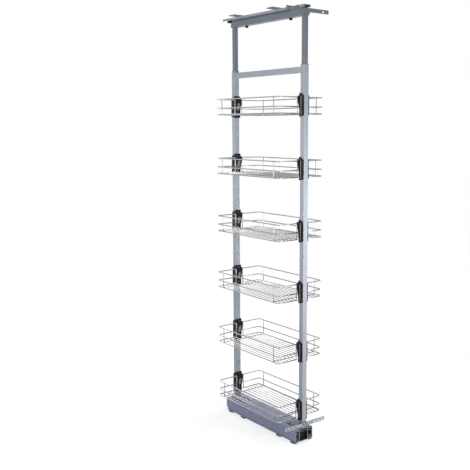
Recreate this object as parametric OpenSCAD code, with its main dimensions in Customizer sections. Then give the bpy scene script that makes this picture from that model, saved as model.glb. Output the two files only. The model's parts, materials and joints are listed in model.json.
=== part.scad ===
// Pull-out pantry frame: two uprights with six hung wire baskets on a full-extension base runner,
// steadied by a telescopic head and a ceiling rail.
// X is the width, the frame pulls out towards -Y, Z is up and the floor is Z = 0. Millimetres.

/* [Baskets] */
// Overall width of a wire basket
basket_w = 252; // [200:1:340]
// Overall depth of a wire basket
basket_d = 460; // [380:1:520]
// Height of the middle rim above the bottom rim, wire centres
rim_mid = 30; // [24:1:40]
// Height of the top rim above the bottom rim, wire centres
rim_top = 70; // [64:1:80]
// Diameter of the rim wire
rim_wire = 5; // [4:0.5:6]
// Diameter of the upright and cross wires
stay_wire = 4; // [3:0.5:5]
// Diameter of the floor wires
floor_wire = 3; // [2.5:0.5:4]
// Spacing of the floor wires
floor_pitch = 20; // [16:1:30]
// Plan radius of the rim corners, wire centre
rim_corner = 10; // [8:1:30]
// Distance of the cross wires from the end rims
cross_inset = 40; // [24:1:60]

/* [Frame] */
// Outer side of the square uprights
upright_w = 25; // [22:0.5:32]
// Wall of the uprights and of the telescopic tubes
tube_t = 1.5; // [1.2:0.1:1.8]
// Length of the uprights
upright_len = 1555; // [1500:1:1650]
// Corner radius of the square tubes
tube_corner = 2; // [1.6:0.1:2.4]
// Pitch of the hole row in the uprights
hole_pitch = 67; // [60:1:72]
// Hole pitches from one basket to the next
pitches_per_basket = 4; // [3:1:4]
// Diameter of the holes in the uprights
hole_d = 5.2; // [4.6:0.1:6]
// First hole above the upright's foot
first_hole = 21; // [19:0.5:26]
// Gap between a basket's end and the upright's inner face
end_gap = 3.5; // [3:0.1:6]
// Height of the crossbar between the uprights
crossbar_h = 25; // [18:1:40]
// Width of the crossbar
crossbar_w = 20; // [14:1:22]
// Top of the crossbar below the top of the uprights
crossbar_drop = 7; // [3:1:30]

/* [Telescopic head] */
// Outer side of the telescopic inner tubes
inner_w = 20; // [17:0.5:20]
// Length of inner tube that shows above the uprights
tube_shown = 199; // [150:1:260]
// Height adjustment above the shown height
head_travel = 300; // [200:1:320]
// Length of inner tube left inside the uprights at full height
tube_keep = 120; // [105:1:150]
// Width of the head channel
channel_w = 28; // [22:1:34]
// Height of the head channel
channel_h = 26; // [22:1:34]
// Wall of the head channel
channel_t = 2; // [1.5:0.5:3]
// Distance of the two head bolts from the middle
head_bolt_y = 155; // [120:1:180]

/* [Holders] */
// Half width of a basket holder
holder_half = 16; // [15:0.25:16.5]
// Holder below the basket's bottom rim
holder_below = 12; // [11:0.5:14]
// Holder above the basket's top rim
holder_above = 18; // [14:1:24]
// Depth of the holder's cheeks along the upright
cheek_d = 25; // [14:0.5:25]
// Thickness of the hook's lip
lip_t = 5.6; // [4:0.2:7]
// Height of the lip above the hook's floor
lip_h = 10; // [8:0.5:12]

/* [Base runner] */
// Width of the runner cover
cover_w = 98; // [88:1:110]
// Height of the cover's sides
cover_side = 53; // [51:0.5:60]
// Sheet thickness of the cover
cover_t = 2; // [1.5:0.5:2.5]
// Thickness of the floor pads
pad_h = 8; // [5:0.5:12]
// Length of a floor pad
pad_len = 30; // [20:1:40]
// Distance of the outer floor pads from the middle
pad_outer_y = 236; // [215:1:238]
// Distance of the inner floor pads from the middle
pad_inner_y = 136; // [80:1:160]
// Thickness of the floor plate
plate_t = 2.5; // [2:0.5:4]
// Height of the base slides
slide_h = 48; // [40:1:49]
// Thickness of the base slides
slide_t = 24; // [20:1:26]
// Full pull-out travel
pull_travel = 440; // [360:1:460]
// Thickness of the foot plates
foot_t = 4; // [3:0.5:8]
// Height of the foot blocks under the uprights
foot_h = 29; // [26:1:46]
// Length of the foot plates
foot_len = 93; // [80:1:120]

/* [Ceiling rail] */
// Width of the ceiling rail
rail_w = 36; // [34:1:44]
// Height of the ceiling slide
rail_h = 18; // [17:0.5:24]
// Height of the ceiling rail's sides
rail_side = 10; // [9:0.5:12]
// Length of the ceiling rail in front of the head channel
rail_front_over = 4; // [2:1:45]
// Length of the ceiling rail behind the head channel
rail_rear_over = 58; // [45:1:95]
// Width of the ceiling plates
ceiling_w = 115; // [90:1:200]
// Length of the ceiling plates
ceiling_len = 42; // [38:1:100]
// Thickness of the ceiling plates
ceiling_t = 4; // [2:0.5:5]
// Distance of the front ceiling plate before the middle
ceiling_front_y = 81; // [60:1:150]
// Distance of the rear ceiling plate behind the middle
ceiling_rear_y = 194; // [120:1:200]

/* [Door brackets] */
// Width of the door brackets
door_w = 230; // [180:1:250]
// Height of the lower door bracket
lower_door_h = 16; // [14:1:24]
// Height of the upper door bracket
upper_door_h = 17; // [15:1:22]
// Sheet thickness of the door brackets
door_t = 2.5; // [2:0.5:3]
// Gap between the lower door bracket and the foot block
door_gap = 4.5; // [4:0.5:8]
// Width of the door screw slots
slot_w = 5.5; // [4.5:0.5:6.5]
// Length of the door screw slots
slot_len = 12; // [9:1:14]

/* [Hidden] */
$fn = 48;

BASKETS = 6;
STEEL = [0.66, 0.68, 0.74];
DARK_STEEL = [0.45, 0.46, 0.5];
RUNNER_BLUE = [0.46, 0.47, 0.58];
ZINC = [0.78, 0.8, 0.77];
CHROME = [0.86, 0.87, 0.88];
BLACK = [0.07, 0.07, 0.08];
GREY = [0.5, 0.51, 0.54];

// running gap between pieces that move past each other
run = 0.3;
// gap between a fixed fastener and its hole
snug = 0.05;
// weld depth where two wires cross
weld = 0.5;

// heights, from the floor up
plate_z = pad_h;
plate_top = plate_z + plate_t;
skirt_gap = 1.5;
cover_z = plate_top + skirt_gap;
cover_top = cover_z + cover_side;
foot_z = cover_top + foot_t;
upright_z = foot_z + foot_h;
upright_top = upright_z + upright_len;
channel_z = upright_top + tube_shown;
channel_top = channel_z + channel_h;
rail_top = channel_top + rail_h;
slide_gap = 1.5;
slide_z = plate_top + slide_gap + slide_h / 2;

// places along the depth
inner_face = basket_d / 2 + end_gap;
upright_y = inner_face + upright_w / 2;
outer_face = inner_face + upright_w;
cover_front_in = 0;
cover_rear_out = 12;
cover_y0 = -outer_face + cover_front_in;
cover_y1 = outer_face + cover_rear_out;
rail_in = 4;
channel_y0 = -outer_face + 2;
channel_y1 = outer_face + 3;

// wires
rim_x = basket_w / 2 - rim_wire / 2;
rim_y = basket_d / 2 - rim_wire / 2;
stay_x = rim_x - rim_wire / 2 - stay_wire / 2 + weld;
hanger_y = rim_y - rim_wire / 2 - stay_wire / 2 + weld;
hanger_gap = 1.5;
hanger_x = holder_half + hanger_gap + stay_wire / 2;
cross_y = rim_y - cross_inset;
floor_z = rim_wire / 2 + floor_wire / 2 - weld;
cross_z = floor_z - floor_wire / 2 - stay_wire / 2 + weld;
basket_pitch = hole_pitch * pitches_per_basket;
// lower holder screw above the bottom rim
screw_low = 8;
first_rim = upright_z + first_hole - screw_low;
function rim_z(k) = first_rim + basket_pitch * (BASKETS - k);

// holders, measured from the upright's inner face towards the basket
wire_y = end_gap + rim_wire / 2;
back_t = end_gap - run;
slot_front = wire_y + rim_wire / 2 + run;
lip_front = slot_front + lip_t;
hook_z = rim_top - rim_wire / 2 - run;
gusset_low = 18;
gusset_high = hook_z - 7;
holder_top = rim_top + holder_above;
holder_screw_d = hole_d - 2 * snug;
holder_head_d = 8.6;

// slides: flange and ball stack from the outside in
rail_t = 2;
flange_t = 2.4;
ball_d = 4;
ball_gap = 2.8;
web_gap = 2;
ball_groove = ball_d / 2 + run;
groove_lip = 0.7;
beam_half = cover_w / 2 - cover_t - slide_t;
beam_h = slide_h - 4.5;
// end stops of the slides: studs that meet at full travel
stud_d = 8;
stud_in = 8;
stud_h = web_gap - 0.4;
half_travel = pull_travel / 2;
middle_in = 10;
// each slide: half width, thickness, front and rear end, depth of the outer rail's sides
base_slide = [
    slide_h / 2, slide_t, cover_y0 + rail_in, cover_y1 - cover_rear_out - 8, slide_t - rail_t - web_gap
];
top_slide = [rail_w / 2, rail_h, channel_y0 + 1, channel_y1, rail_side];

function half_of(s) = s[0];
function depth_of(s) = s[1];
function front_of(s) = s[2];
function rear_of(s) = s[3];
function row_1(s) = half_of(s) - flange_t - ball_gap / 2;
function row_2(s) = row_1(s) - ball_gap - flange_t;
function side_of(s) = s[4];
function ball_1_u(s) = side_of(s) - ball_groove - groove_lip;
function ball_2_u(s) = 2 * (rail_t + web_gap) + ball_groove + groove_lip;

// square outline with round corners, centred
module round_square(w, r) {
    square([w - 2 * r, w], center = true);
    square([w, w - 2 * r], center = true);
    for (x = [-1, 1], y = [-1, 1])
        translate([x * (w / 2 - r), y * (w / 2 - r)])
            circle(r);
}

// square tube standing at the given height
module square_tube(w, t, len) {
    linear_extrude(len)
        difference() {
            round_square(w, tube_corner);
            round_square(w - 2 * t, tube_corner - t / 2);
        }
}

// outline in X and Z run along Y between two places
module run_y(y0, y1) {
    translate([0, y1, 0])
        rotate([90, 0, 0])
            linear_extrude(y1 - y0)
                children();
}

// cylinder along X or Y from a start point
module rod_x(d, len) {
    rotate([0, 90, 0])
        cylinder(d = d, h = len);
}

module rod_y(d, len) {
    rotate([-90, 0, 0])
        cylinder(d = d, h = len);
}

// the front pieces are the rear pieces turned about the vertical axis
module at_front() {
    rotate([0, 0, 180])
        children();
}

// Slides. U runs from the fixed web to the moving web, V across the flanges, and the rails lie along Y.
module flange_pair(u0, u1, v1) {
    for (side = [-1, 1])
        translate([u0, side * (v1 - flange_t / 2) - flange_t / 2])
            square([u1 - u0, flange_t]);
}

module groove_pair(row, u) {
    for (side = [-1, 1])
        translate([u, side * row])
            circle(ball_groove);
}

module stop_stud(u, y, h) {
    translate([u, y, 0])
        rod_x(stud_d, h);
}

module slide_outer(s, y0, y1) {
    run_y(y0, y1)
        difference() {
            union() {
                translate([0, -half_of(s)])
                    square([rail_t, 2 * half_of(s)]);
                flange_pair(0, side_of(s), half_of(s));
            }
            groove_pair(row_1(s), ball_1_u(s));
        }
    stop_stud(rail_t, front_of(s) + stud_in, stud_h);
}

module slide_middle(s) {
    v = half_of(s) - flange_t - ball_gap;
    u = rail_t + web_gap;
    y0 = front_of(s) + middle_in;
    run_y(y0, rear_of(s) - middle_in)
        difference() {
            union() {
                translate([u, -v])
                    square([rail_t, 2 * v]);
                flange_pair(u, depth_of(s) - rail_t - web_gap, v);
            }
            groove_pair(row_1(s), ball_1_u(s));
            groove_pair(row_2(s), ball_2_u(s));
        }
    stop_stud(u - stud_h, front_of(s) + stud_in + stud_d + run + half_travel, stud_h);
    stop_stud(u + rail_t, y0 + stud_in, 2 * stud_h);
}

module slide_inner(s) {
    v = row_2(s) - ball_gap / 2;
    u = 2 * (rail_t + web_gap);
    run_y(front_of(s), rear_of(s))
        difference() {
            union() {
                translate([depth_of(s) - rail_t, -v])
                    square([rail_t, 2 * v]);
                flange_pair(u, depth_of(s), v);
            }
            groove_pair(row_2(s), ball_2_u(s));
        }
    reach = depth_of(s) - rail_t - u - stud_h / 2;
    stop_stud(
        depth_of(s) - rail_t - reach,
        front_of(s) + middle_in + stud_in + stud_d + run + half_travel,
        reach
    );
}

// strip of a ball cage with its balls, one above and one below
module slide_cage(s, row, u) {
    cage_t = 1.2;
    cage_half_w = 3;
    cage_margin = 12;
    ball_step = 28;
    mid_len = rear_of(s) - front_of(s) - 2 * middle_in;
    len = mid_len - half_travel - 2 * cage_margin;
    count = floor((len - ball_d) / ball_step);
    y_mid = (front_of(s) + rear_of(s)) / 2;
    for (side = [-1, 1])
        translate([u, y_mid, side * row]) {
            translate([-cage_half_w, -len / 2, -cage_t / 2])
                cube([2 * cage_half_w, len, cage_t]);
            for (i = [0 : count])
                translate([0, (i - count / 2) * ball_step, 0])
                    sphere(d = ball_d);
        }
}

module on_right() {
    translate([beam_half, 0, slide_z])
        children();
}

module on_left() {
    mirror([1, 0, 0])
        on_right()
            children();
}

module on_ceiling() {
    translate([0, 0, rail_top])
        rotate([0, 90, 0])
            children();
}

// Base runner
pad_x = cover_w / 2 + 2;
pad_w = 20;
pad_ys = [-pad_outer_y, -pad_inner_y, pad_inner_y, pad_outer_y];
base_screw_d = 4.4;
base_screw_x = pad_x - 5;

module floor_screw_holes(d) {
    for (side = [-1, 1], y = [-pad_outer_y, pad_outer_y])
        translate([side * base_screw_x, y, -1])
            cylinder(d = d, h = plate_top + 2);
}

module floor_plate() {
    color(ZINC)
        difference() {
            translate([-pad_x, cover_y0, plate_z])
                cube([2 * pad_x, cover_y1 - cover_y0 - 4, plate_t]);
            floor_screw_holes(base_screw_d);
        }
}

module floor_pads() {
    color(BLACK)
        difference() {
            for (side = [0, 1], y = pad_ys)
                mirror([side, 0, 0])
                    translate([pad_x - pad_w, y - pad_len / 2, 0])
                        cube([pad_w, pad_len, pad_h]);
            floor_screw_holes(base_screw_d);
        }
}

beam_t = 2;
beam_y0 = front_of(base_slide);
beam_y1 = rear_of(base_slide);

module base_beam() {
    color(ZINC)
        run_y(beam_y0, beam_y1)
            translate([0, plate_top])
                difference() {
                    translate([-beam_half, 0])
                        square([2 * beam_half, beam_h]);
                    translate([-beam_half + beam_t, -1])
                        square([2 * (beam_half - beam_t), beam_h - beam_t + 1]);
                }
}

module beam_plug() {
    plug_in = 20;
    plug_out = 3;
    rib = 4;
    half = beam_half - beam_t;
    h = beam_h - beam_t;
    color(BLACK)
        difference() {
            translate([-half, beam_y0 - plug_out, plate_top])
                cube([2 * half, plug_in + plug_out, h]);
            translate([-half + rib, beam_y0 - plug_out - 1, plate_top + rib])
                cube([2 * (half - rib), plug_in / 2, h - 2 * rib]);
        }
}

module base_outer() {
    slide_outer(base_slide, front_of(base_slide), rear_of(base_slide));
}

module outer_rail_left() {
    color(ZINC)
        on_left()
            base_outer();
}

module outer_rail_right() {
    color(ZINC)
        on_right()
            base_outer();
}

module rear_bumpers() {
    bumper_d = 14;
    bumper_w = 12;
    color(BLACK)
        for (side = [0, 1])
            mirror([side, 0, 0])
                translate([cover_w / 2 - cover_t - bumper_w - 2, rear_of(base_slide) + run, plate_top])
                    cube([bumper_w, bumper_d, slide_h / 2 + 6]);
}

module middle_rail_left() {
    color(ZINC)
        on_left()
            slide_middle(base_slide);
}

module middle_rail_right() {
    color(ZINC)
        on_right()
            slide_middle(base_slide);
}

module base_cages(row, u) {
    color(ZINC) {
        on_right()
            slide_cage(base_slide, row, u);
        on_left()
            slide_cage(base_slide, row, u);
    }
}

module outer_ball_cages() {
    base_cages(row_1(base_slide), ball_1_u(base_slide));
}

module inner_ball_cages() {
    base_cages(row_2(base_slide), ball_2_u(base_slide));
}

// Carriage
module inner_rail_left() {
    color(ZINC)
        on_left()
            slide_inner(base_slide);
}

module inner_rail_right() {
    color(ZINC)
        on_right()
            slide_inner(base_slide);
}

foot_screw_x = beam_half - 6;
foot_screw_d = 5;
foot_screw_in = [14, 40];
foot_half = 24;
function foot_screw_y(i) = outer_face - foot_len + foot_screw_in[i];

module foot_screw_places() {
    for (turn = [0, 180], side = [-1, 1], i = [0, 1])
        rotate([0, 0, turn])
            translate([side * foot_screw_x, foot_screw_y(i), 0])
                children();
}

cover_edge = 5;
cover_tail = 20;

// cover outline with softened upper edges, shrunk by the sheet for the inside
module cover_outline(t) {
    half = cover_w / 2 - t;
    top = cover_top - t;
    r = max(cover_edge - t, 1);
    translate([-half, cover_z])
        square([2 * half, cover_side - t - r]);
    translate([-half + r, cover_z])
        square([2 * (half - r), cover_side - t]);
    for (side = [-1, 1])
        translate([side * (half - r), top - r])
            circle(r);
}

module runner_cover() {
    color(RUNNER_BLUE)
        difference() {
            run_y(cover_y0, cover_y1)
                difference() {
                    cover_outline(0);
                    translate([-cover_w / 2 + cover_t, cover_z - 1])
                        square([cover_w - 2 * cover_t, cover_side - cover_t - cover_edge + 1]);
                    cover_outline(cover_t);
                }
            // rounded lower rear corners
            difference() {
                translate([-cover_w, cover_y1 - cover_tail, cover_z - cover_tail])
                    cube([2 * cover_w, 2 * cover_tail, 2 * cover_tail]);
                translate([-cover_w - 1, cover_y1 - cover_tail, cover_z + cover_tail])
                    rod_x(2 * cover_tail, 2 * cover_w + 2);
            }
            foot_screw_places()
                translate([0, 0, cover_top - cover_side / 2])
                    cylinder(d = foot_screw_d + 2 * snug, h = cover_side);
        }
}

plug_w = upright_w - 2 * tube_t - 2 * snug;
plug_h = 25;
door_screw_x = 8;
door_screw_d = 5;
door_screw_in = 12;
// door screws below the uprights
door_screw_drop = 12;
lower_door_z = upright_z - door_screw_drop;

module rear_foot() {
    translate([-foot_half, outer_face - foot_len, cover_top])
        cube([2 * foot_half, foot_len, foot_t]);
    translate([-upright_w / 2, inner_face, foot_z])
        cube([upright_w, upright_w, foot_h]);
    translate([0, upright_y, upright_z])
        linear_extrude(plug_h)
            round_square(plug_w, tube_corner - tube_t / 2);
}

module foot_screw_holes() {
    foot_screw_places()
        translate([0, 0, cover_top - 1])
            cylinder(d = foot_screw_d + 2 * snug, h = foot_t + 2);
}

module door_screw_places() {
    for (side = [-1, 1])
        translate([side * door_screw_x, -outer_face, lower_door_z])
            children();
}

module foot_front() {
    color(DARK_STEEL)
        difference() {
            at_front()
                rear_foot();
            foot_screw_holes();
            door_screw_places()
                translate([0, -1, 0])
                    rod_y(door_screw_d + 2 * snug, door_screw_in + 1 + snug);
        }
}

module foot_rear() {
    color(DARK_STEEL)
        difference() {
            rear_foot();
            foot_screw_holes();
        }
}

lock_drop = 34;
lock_d = 6;
pin_d = 5;
glide_flange = 5;
tube_inside = head_travel + tube_keep;
tube_z = upright_top - tube_inside;
stop_z = tube_z - glide_flange - run - pin_d / 2;
hole_count = floor((upright_len - first_hole - crossbar_drop - crossbar_h - 10) / hole_pitch);

module rear_upright() {
    difference() {
        translate([0, upright_y, upright_z])
            square_tube(upright_w, tube_t, upright_len);
        for (i = [0 : hole_count])
            translate([0, inner_face - 1, upright_z + first_hole + i * hole_pitch])
                rod_y(hole_d, tube_t + 2);
        translate([-upright_w, upright_y, stop_z])
            rod_x(pin_d + 2 * snug, 2 * upright_w);
    }
}

module lock_hole() {
    translate([0, 0, upright_top - lock_drop])
        rod_x(lock_d + 2 * snug, upright_w);
}

module upright_front() {
    color(STEEL)
        difference() {
            at_front()
                rear_upright();
            translate([0, -upright_y, 0])
                lock_hole();
        }
}

module upright_rear() {
    color(STEEL)
        difference() {
            rear_upright();
            translate([0, upright_y, 0])
                lock_hole();
        }
}

module crossbar() {
    color(STEEL)
        run_y(-inner_face, inner_face)
            translate([0, upright_top - crossbar_drop - crossbar_h / 2])
                difference() {
                    square([crossbar_w, crossbar_h], center = true);
                    square([crossbar_w - 2 * tube_t, crossbar_h - 2 * tube_t], center = true);
                }
}

bush_h = 4;
bush_skirt = 18;
bush_bore = inner_w + 2 * run;

module rear_bush() {
    translate([0, upright_y, upright_top])
        difference() {
            union() {
                linear_extrude(bush_h)
                    round_square(upright_w, tube_corner);
                translate([0, 0, -bush_skirt])
                    linear_extrude(bush_skirt)
                        round_square(plug_w, tube_corner - tube_t / 2);
            }
            translate([0, 0, -bush_skirt - 1])
                linear_extrude(bush_skirt + bush_h + 2)
                    round_square(bush_bore, tube_corner);
        }
}

module guide_bush_front() {
    color(DARK_STEEL)
        at_front()
            rear_bush();
}

module guide_bush_rear() {
    color(DARK_STEEL)
        rear_bush();
}

module lock_screws() {
    head_d = 11;
    head_h = 5;
    socket_d = 5;
    color(DARK_STEEL)
        for (side = [-1, 1])
            translate([0, side * upright_y, upright_top - lock_drop])
                difference() {
                    union() {
                        translate([inner_w / 2 + run, 0, 0])
                            rod_x(lock_d, (upright_w - inner_w) / 2);
                        translate([upright_w / 2, 0, 0])
                            rod_x(head_d, head_h);
                    }
                    translate([upright_w / 2 + head_h / 2, 0, 0])
                        rotate([0, 90, 0])
                            cylinder(d = socket_d, h = head_h, $fn = 6);
                }
}

module stop_pins() {
    color(ZINC)
        for (side = [-1, 1])
            translate([-upright_w / 2, side * upright_y, stop_z])
                rod_x(pin_d, upright_w);
}

// door bracket leaf with a stiffening fold along its top edge and a row of slots, back face at Y = 0
lower_slot_ins = [13, 36, 58];
upper_slot_ins = [31];

module door_leaf(h, fold, slot_ins) {
    difference() {
        union() {
            translate([-door_w / 2, -door_t, 0])
                cube([door_w, door_t, h]);
            translate([-door_w / 2, 0, h - door_t])
                cube([door_w, fold, door_t]);
        }
        for (side = [-1, 1], inset = slot_ins)
            translate([side * (door_w / 2 - inset), -door_t - 1, (h - door_t) / 2])
                door_slot();
    }
}

module door_slot() {
    run_len = slot_len - slot_w;
    for (side = [-1, 1])
        translate([side * run_len / 2, 0, 0])
            rod_y(slot_w, door_t + 2);
    translate([-run_len / 2, 0, -slot_w / 2])
        cube([run_len, door_t + 2, slot_w]);
}

door_fold = 4;
spacer_half = 15;

module lower_door_bracket() {
    color(ZINC)
        difference() {
            union() {
                translate([0, -outer_face - door_gap, lower_door_z - lower_door_h / 2])
                    door_leaf(lower_door_h, door_gap - run, lower_slot_ins);
                translate([-spacer_half, -outer_face - door_gap, lower_door_z - lower_door_h / 2])
                    cube([2 * spacer_half, door_gap, lower_door_h]);
            }
            door_screw_places()
                translate([0, -door_gap - door_t - 1, 0])
                    rod_y(door_screw_d + 2 * snug, door_gap + door_t + 2);
        }
}

module carriage_screws() {
    foot_head_d = 9;
    foot_head_h = 3;
    nut_d = 9;
    nut_h = 3.5;
    door_head_d = 9;
    color(DARK_STEEL) {
        foot_screw_places() {
            translate([0, 0, foot_z])
                cylinder(d = foot_head_d, h = foot_head_h);
            translate([0, 0, cover_top - cover_t - nut_h])
                cylinder(d = foot_screw_d, h = foot_t + cover_t + nut_h);
            translate([0, 0, cover_top - cover_t - nut_h])
                cylinder(d = nut_d, h = nut_h, $fn = 6);
        }
        door_screw_places() {
            translate([0, -door_gap - door_t, 0])
                rod_y(door_screw_d, door_gap + door_t + door_screw_in);
            translate([0, -door_gap - door_t - foot_head_h, 0])
                rod_y(door_head_d, foot_head_h);
        }
    }
}

// Basket holders. Local Y is 0 on the upright's inner face and grows towards the basket,
// local Z is 0 at the basket's bottom rim.
cheek_window_w = 8;
cheek_window_in = 2;

module holder_side() {
    polygon([
        [0, -holder_below], [back_t, -holder_below], [back_t, gusset_low],
        [lip_front, gusset_high], [lip_front, hook_z + lip_h - lip_t / 2],
        [slot_front, hook_z + lip_h - lip_t / 2], [slot_front, hook_z],
        [back_t, hook_z], [back_t, holder_top], [0, holder_top]
    ]);
}

module cheek_side() {
    slant = 12;
    window_z = 7 - holder_below;
    difference() {
        polygon([
            [0, -holder_below], [-cheek_d, slant / 2 - holder_below],
            [-cheek_d, holder_top - slant], [0, holder_top]
        ]);
        translate([-cheek_window_in - cheek_window_w, window_z])
            square([cheek_window_w, holder_top - slant - 2 - window_z]);
    }
}

// extrude an outline in local Y and Z along X
module across_x(x0, x1) {
    translate([x0, 0, 0])
        rotate([90, 0, 90])
            linear_extrude(x1 - x0)
                children();
}

module holder_screw_places() {
    for (z = [screw_low, screw_low + hole_pitch])
        translate([0, 0, z])
            children();
}

// countersunk screw along local Y, head flush with the back plate
module holder_screw(d, head_d, y0) {
    head_h = (head_d - d) / 2;
    translate([0, y0, 0])
        rod_y(d, back_t - y0);
    translate([0, back_t - head_h, 0])
        rotate([-90, 0, 0])
            cylinder(d1 = d, d2 = head_d, h = head_h);
}

module holder() {
    color(BLACK)
        difference() {
            union() {
                across_x(-holder_half, holder_half)
                    holder_side();
                translate([-holder_half, slot_front + lip_t / 2, hook_z + lip_h - lip_t / 2])
                    rod_x(lip_t, 2 * holder_half);
                across_x(upright_w / 2, holder_half)
                    cheek_side();
                across_x(-holder_half, -upright_w / 2)
                    cheek_side();
            }
            holder_screw_places()
                holder_screw(holder_screw_d + 2 * snug, holder_head_d + 2 * snug, -1);
        }
}

// grey inlay on the slanted face below the hook
module holder_cap() {
    rise = gusset_high - gusset_low;
    out = lip_front - back_t;
    cap_w = 13;
    cap_t = 1.5;
    cap_in = 4;
    cap_len = sqrt(rise * rise + out * out) - 2 * cap_in - cap_w;
    translate([0, back_t, gusset_low])
        rotate([-atan2(out, rise), 0, 0])
            translate([0, 0, cap_in + cap_w / 2])
                rotate([-90, 0, 0])
                    linear_extrude(cap_t) {
                        circle(d = cap_w);
                        translate([0, -cap_len])
                            circle(d = cap_w);
                        translate([-cap_w / 2, -cap_len])
                            square([cap_w, cap_len]);
                    }
}

module rear_place(k) {
    translate([0, inner_face, rim_z(k)])
        mirror([0, 1, 0])
            children();
}

module front_place(k) {
    translate([0, -inner_face, rim_z(k)])
        children();
}

module all_holder_places() {
    for (k = [1 : BASKETS]) {
        rear_place(k)
            children();
        front_place(k)
            children();
    }
}

module holder_caps() {
    color(GREY)
        all_holder_places()
            holder_cap();
}

module holder_screws() {
    color(ZINC)
        all_holder_places()
            holder_screw_places()
                holder_screw(holder_screw_d, holder_head_d, snug - tube_t);
}

// Wire baskets, bottom rim at Z = 0
module quarter_bend(d, r) {
    rotate_extrude(angle = 90)
        translate([r, 0])
            circle(d = d);
}

module rim_corners(d) {
    for (turn = [0, 180]) {
        rotate([0, 0, turn])
            translate([rim_x - rim_corner, rim_y - rim_corner, 0])
                quarter_bend(d, rim_corner);
        rotate([0, 0, turn])
            translate([-rim_x + rim_corner, rim_y - rim_corner, 0])
                rotate([0, 0, 90])
                    quarter_bend(d, rim_corner);
    }
}

// closed rim, or one whose ends stop at the hanger wires beside the holders
module rim(gap) {
    side_len = 2 * (rim_y - rim_corner);
    end_len = rim_x - rim_corner - gap;
    rim_corners(rim_wire);
    for (side = [-1, 1])
        translate([side * rim_x, -side_len / 2, 0])
            rod_y(rim_wire, side_len);
    for (end = [-1, 1])
        if (gap > 0)
            for (side = [-1, 1])
                translate([side > 0 ? gap : -gap - end_len, end * rim_y, 0])
                    rod_x(rim_wire, end_len);
        else
            translate([-end_len, end * rim_y, 0])
                rod_x(rim_wire, 2 * end_len);
}

module stays() {
    for (end = [-1, 1]) {
        for (side = [-1, 1]) {
            translate([side * stay_x, end * cross_y, cross_z])
                cylinder(d = stay_wire, h = rim_top - cross_z);
            translate([side * hanger_x, end * hanger_y, 0])
                cylinder(d = stay_wire, h = rim_top);
        }
        translate([-stay_x, end * cross_y, cross_z])
            rod_x(stay_wire, 2 * stay_x);
    }
}

// floor wires run to the end rims, or to the cross wires where a holder stands
module floor_wires() {
    per_side = floor((rim_x - floor_pitch / 2 - rim_wire) / floor_pitch);
    for (side = [-1, 1], i = [0 : per_side]) {
        x = (i + 0.5) * floor_pitch;
        reach = x > hanger_x + stay_wire / 2 ? rim_y : cross_y + stay_wire / 2;
        translate([side * x, -reach, floor_z])
            rod_y(floor_wire, 2 * reach);
    }
}

module basket(k) {
    color(CHROME)
        translate([0, 0, rim_z(k)]) {
            rim(hanger_x);
            translate([0, 0, rim_mid])
                rim(hanger_x);
            translate([0, 0, rim_top])
                rim(0);
            stays();
            floor_wires();
        }
}

// Telescopic head
module rear_inner_tube() {
    translate([0, upright_y, tube_z])
        square_tube(inner_w, tube_t, tube_inside + tube_shown);
}

module inner_tube_front() {
    color(DARK_STEEL)
        at_front()
            rear_inner_tube();
}

module inner_tube_rear() {
    color(DARK_STEEL)
        rear_inner_tube();
}

module tube_glides() {
    glide_in = 20;
    glide_w = upright_w - 2 * tube_t - 2 * run;
    inside_w = inner_w - 2 * tube_t - 2 * snug;
    color(BLACK)
        for (side = [-1, 1])
            translate([0, side * upright_y, tube_z]) {
                translate([0, 0, -glide_flange])
                    linear_extrude(glide_flange)
                        round_square(glide_w, tube_corner - tube_t / 2);
                linear_extrude(glide_in)
                    round_square(inside_w, tube_corner - tube_t / 2);
            }
}

channel_tail = 20;

// side outline of the head channel with its rounded upper rear corner, as Y and Z
module channel_side(t) {
    y1 = channel_y1 - t;
    z1 = channel_top - t;
    r = channel_tail - t;
    polygon([
        [channel_y0 - (t > 0 ? 1 : 0), channel_z + t], [y1, channel_z + t], [y1, z1 - r],
        [y1 - r, z1 - r], [y1 - r, z1], [channel_y0 - (t > 0 ? 1 : 0), z1]
    ]);
    translate([y1 - r, z1 - r])
        intersection() {
            circle(r);
            square(r);
        }
}

head_bolt_d = 6;

module head_bolt_places() {
    for (side = [-1, 1])
        translate([0, side * head_bolt_y, 0])
            children();
}

tongue_len = 36;
tongue_screw_y = channel_y0 + tongue_len - 8;
tongue_screw_d = 5;
tongue_screw_in = 10;

module head_channel() {
    color(DARK_STEEL)
        difference() {
            across_x(-channel_w / 2, channel_w / 2)
                channel_side(0);
            across_x(channel_t - channel_w / 2, channel_w / 2 - channel_t)
                channel_side(channel_t);
            head_bolt_places()
                translate([0, 0, channel_z - 1])
                    cylinder(d = head_bolt_d + 2 * snug, h = channel_h + 2);
            translate([0, tongue_screw_y, channel_z - 1])
                cylinder(d = tongue_screw_d + 2 * snug, h = channel_t + 2);
        }
}

upper_door_top = channel_top + rail_t + web_gap - 1.5;
upper_door_y = channel_y0 - 6.5;

module upper_door_bracket() {
    tongue_half = channel_w / 2 - channel_t - snug;
    tongue_z = channel_z + channel_t + snug;
    tongue_h = channel_h - 2 * channel_t - 2 * snug;
    color(DARK_STEEL)
        difference() {
            union() {
                translate([0, upper_door_y, upper_door_top - upper_door_h])
                    door_leaf(upper_door_h, door_fold, upper_slot_ins);
                translate([-tongue_half, upper_door_y, tongue_z])
                    cube([2 * tongue_half, channel_y0 - upper_door_y + tongue_len, tongue_h]);
            }
            translate([0, tongue_screw_y, tongue_z - 1])
                cylinder(d = tongue_screw_d + 2 * snug, h = tongue_screw_in + 1 + snug);
        }
}

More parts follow.
